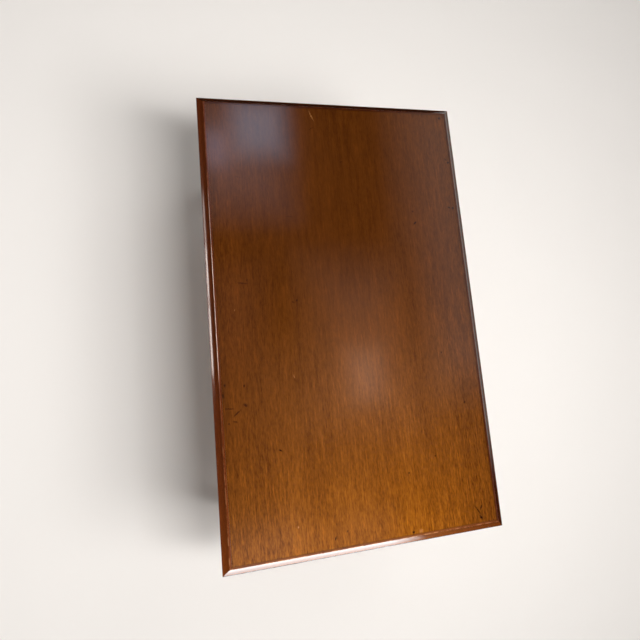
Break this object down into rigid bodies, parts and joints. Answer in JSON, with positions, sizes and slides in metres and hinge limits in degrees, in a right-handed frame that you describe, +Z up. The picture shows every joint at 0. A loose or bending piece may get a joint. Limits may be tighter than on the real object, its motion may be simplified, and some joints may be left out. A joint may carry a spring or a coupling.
{
  "type": "cocktail table",
  "caption": "Low rectangular mahogany table: veneered top in a mitred lipping with a hollow moulded edge, aprons tenoned into square tapered legs.",
  "frame": {"origin": "On the floor, under the middle of the top.", "axes": "+Z up. +Y along the long side, away from the end that is nearest in the picture. +X across, to the picture's right."},
  "size_m": [0.71, 1.16, 0.46],
  "materials": {
    "mahogany_veneer": "straight-grained mahogany veneer, clear lacquer rubbed to a soft gloss, small dents and dark flecks",
    "lipping_mahogany": "solid mahogany, redder and darker than the veneer, clear lacquer",
    "frame_mahogany": "solid mahogany, clear lacquer",
    "core_board": "bare blockboard",
    "backing_veneer": "plain balancing veneer, thin wash coat",
    "beech": "bare planed beech",
    "screw_steel": "bright zinc-plated steel",
    "glide_steel": "nickel-plated steel"
  },
  "bodies": {
    "root": {"face_veneer": "mahogany_veneer", "panel_core": "core_board", "backing_veneer": "backing_veneer", "lipping_left_side": "lipping_mahogany", "lipping_right_side": "lipping_mahogany", "lipping_near_end": "lipping_mahogany", "lipping_far_end": "lipping_mahogany", "leg_near_left": "frame_mahogany", "leg_near_right": "frame_mahogany", "leg_far_left": "frame_mahogany", "leg_far_right": "frame_mahogany", "apron_left_side": "frame_mahogany", "apron_right_side": "frame_mahogany", "apron_near_end": "frame_mahogany", "apron_far_end": "frame_mahogany", "bearer": "beech", "corner_block_near_left": "beech", "corner_block_near_right": "beech", "corner_block_far_left": "beech", "corner_block_far_right": "beech", "button_left_side_near": "beech", "button_left_side_far": "beech", "button_right_side_near": "beech", "button_right_side_far": "beech", "button_near_end_left": "beech", "button_near_end_right": "beech", "button_far_end_left": "beech", "button_far_end_right": "beech", "corner_screw_near_left_side": "screw_steel", "corner_screw_near_left_end": "screw_steel", "corner_screw_near_right_side": "screw_steel", "corner_screw_near_right_end": "screw_steel", "corner_screw_far_left_side": "screw_steel", "corner_screw_far_left_end": "screw_steel", "corner_screw_far_right_side": "screw_steel", "corner_screw_far_right_end": "screw_steel", "button_screw_left_side_near": "screw_steel", "button_screw_left_side_far": "screw_steel", "button_screw_right_side_near": "screw_steel", "button_screw_right_side_far": "screw_steel", "button_screw_near_end_left": "screw_steel", "button_screw_near_end_right": "screw_steel", "button_screw_far_end_left": "screw_steel", "button_screw_far_end_right": "screw_steel", "bearer_screw_left": "screw_steel", "bearer_screw_right": "screw_steel", "glide_near_left": "glide_steel", "glide_near_right": "glide_steel", "glide_far_left": "glide_steel", "glide_far_right": "glide_steel"}
  },
  "joints": []
}
